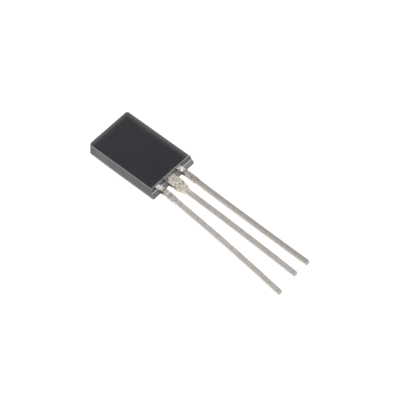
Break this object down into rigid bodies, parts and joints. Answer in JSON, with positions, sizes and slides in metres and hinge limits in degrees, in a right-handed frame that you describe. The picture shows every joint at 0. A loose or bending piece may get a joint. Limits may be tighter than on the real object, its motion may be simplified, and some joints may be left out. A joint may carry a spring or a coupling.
{
  "type": "transistor",
  "caption": "Through-hole power transistor: black moulded epoxy body with a flat front, a tapered back and long flat tinned leads at one end.",
  "frame": {"origin": "centre of the narrow flat on the back of the body, where the part rests", "axes": "+Z leaves the flat front face, -Y runs along the leads away from the body, +X runs across the row of leads from the emitter to the base"},
  "size_m": [0.0052, 0.0234, 0.0039],
  "materials": {
    "epoxy": "fine matte moulding compound, smoother across the lead end",
    "tinned_lead": "hot-dipped tin on a stamped copper-alloy strip, softly bright and slightly uneven",
    "silicon": "polished silicon",
    "solder": "dull solder",
    "bond_wire": "drawn gold wire"
  },
  "bodies": {
    "root": {"molded_body": "epoxy", "emitter_lead": "tinned_lead", "collector_lead": "tinned_lead", "base_lead": "tinned_lead", "silicon_die": "silicon", "die_attach_solder": "solder", "emitter_bond_wire": "bond_wire", "base_bond_wire": "bond_wire"}
  },
  "joints": []
}
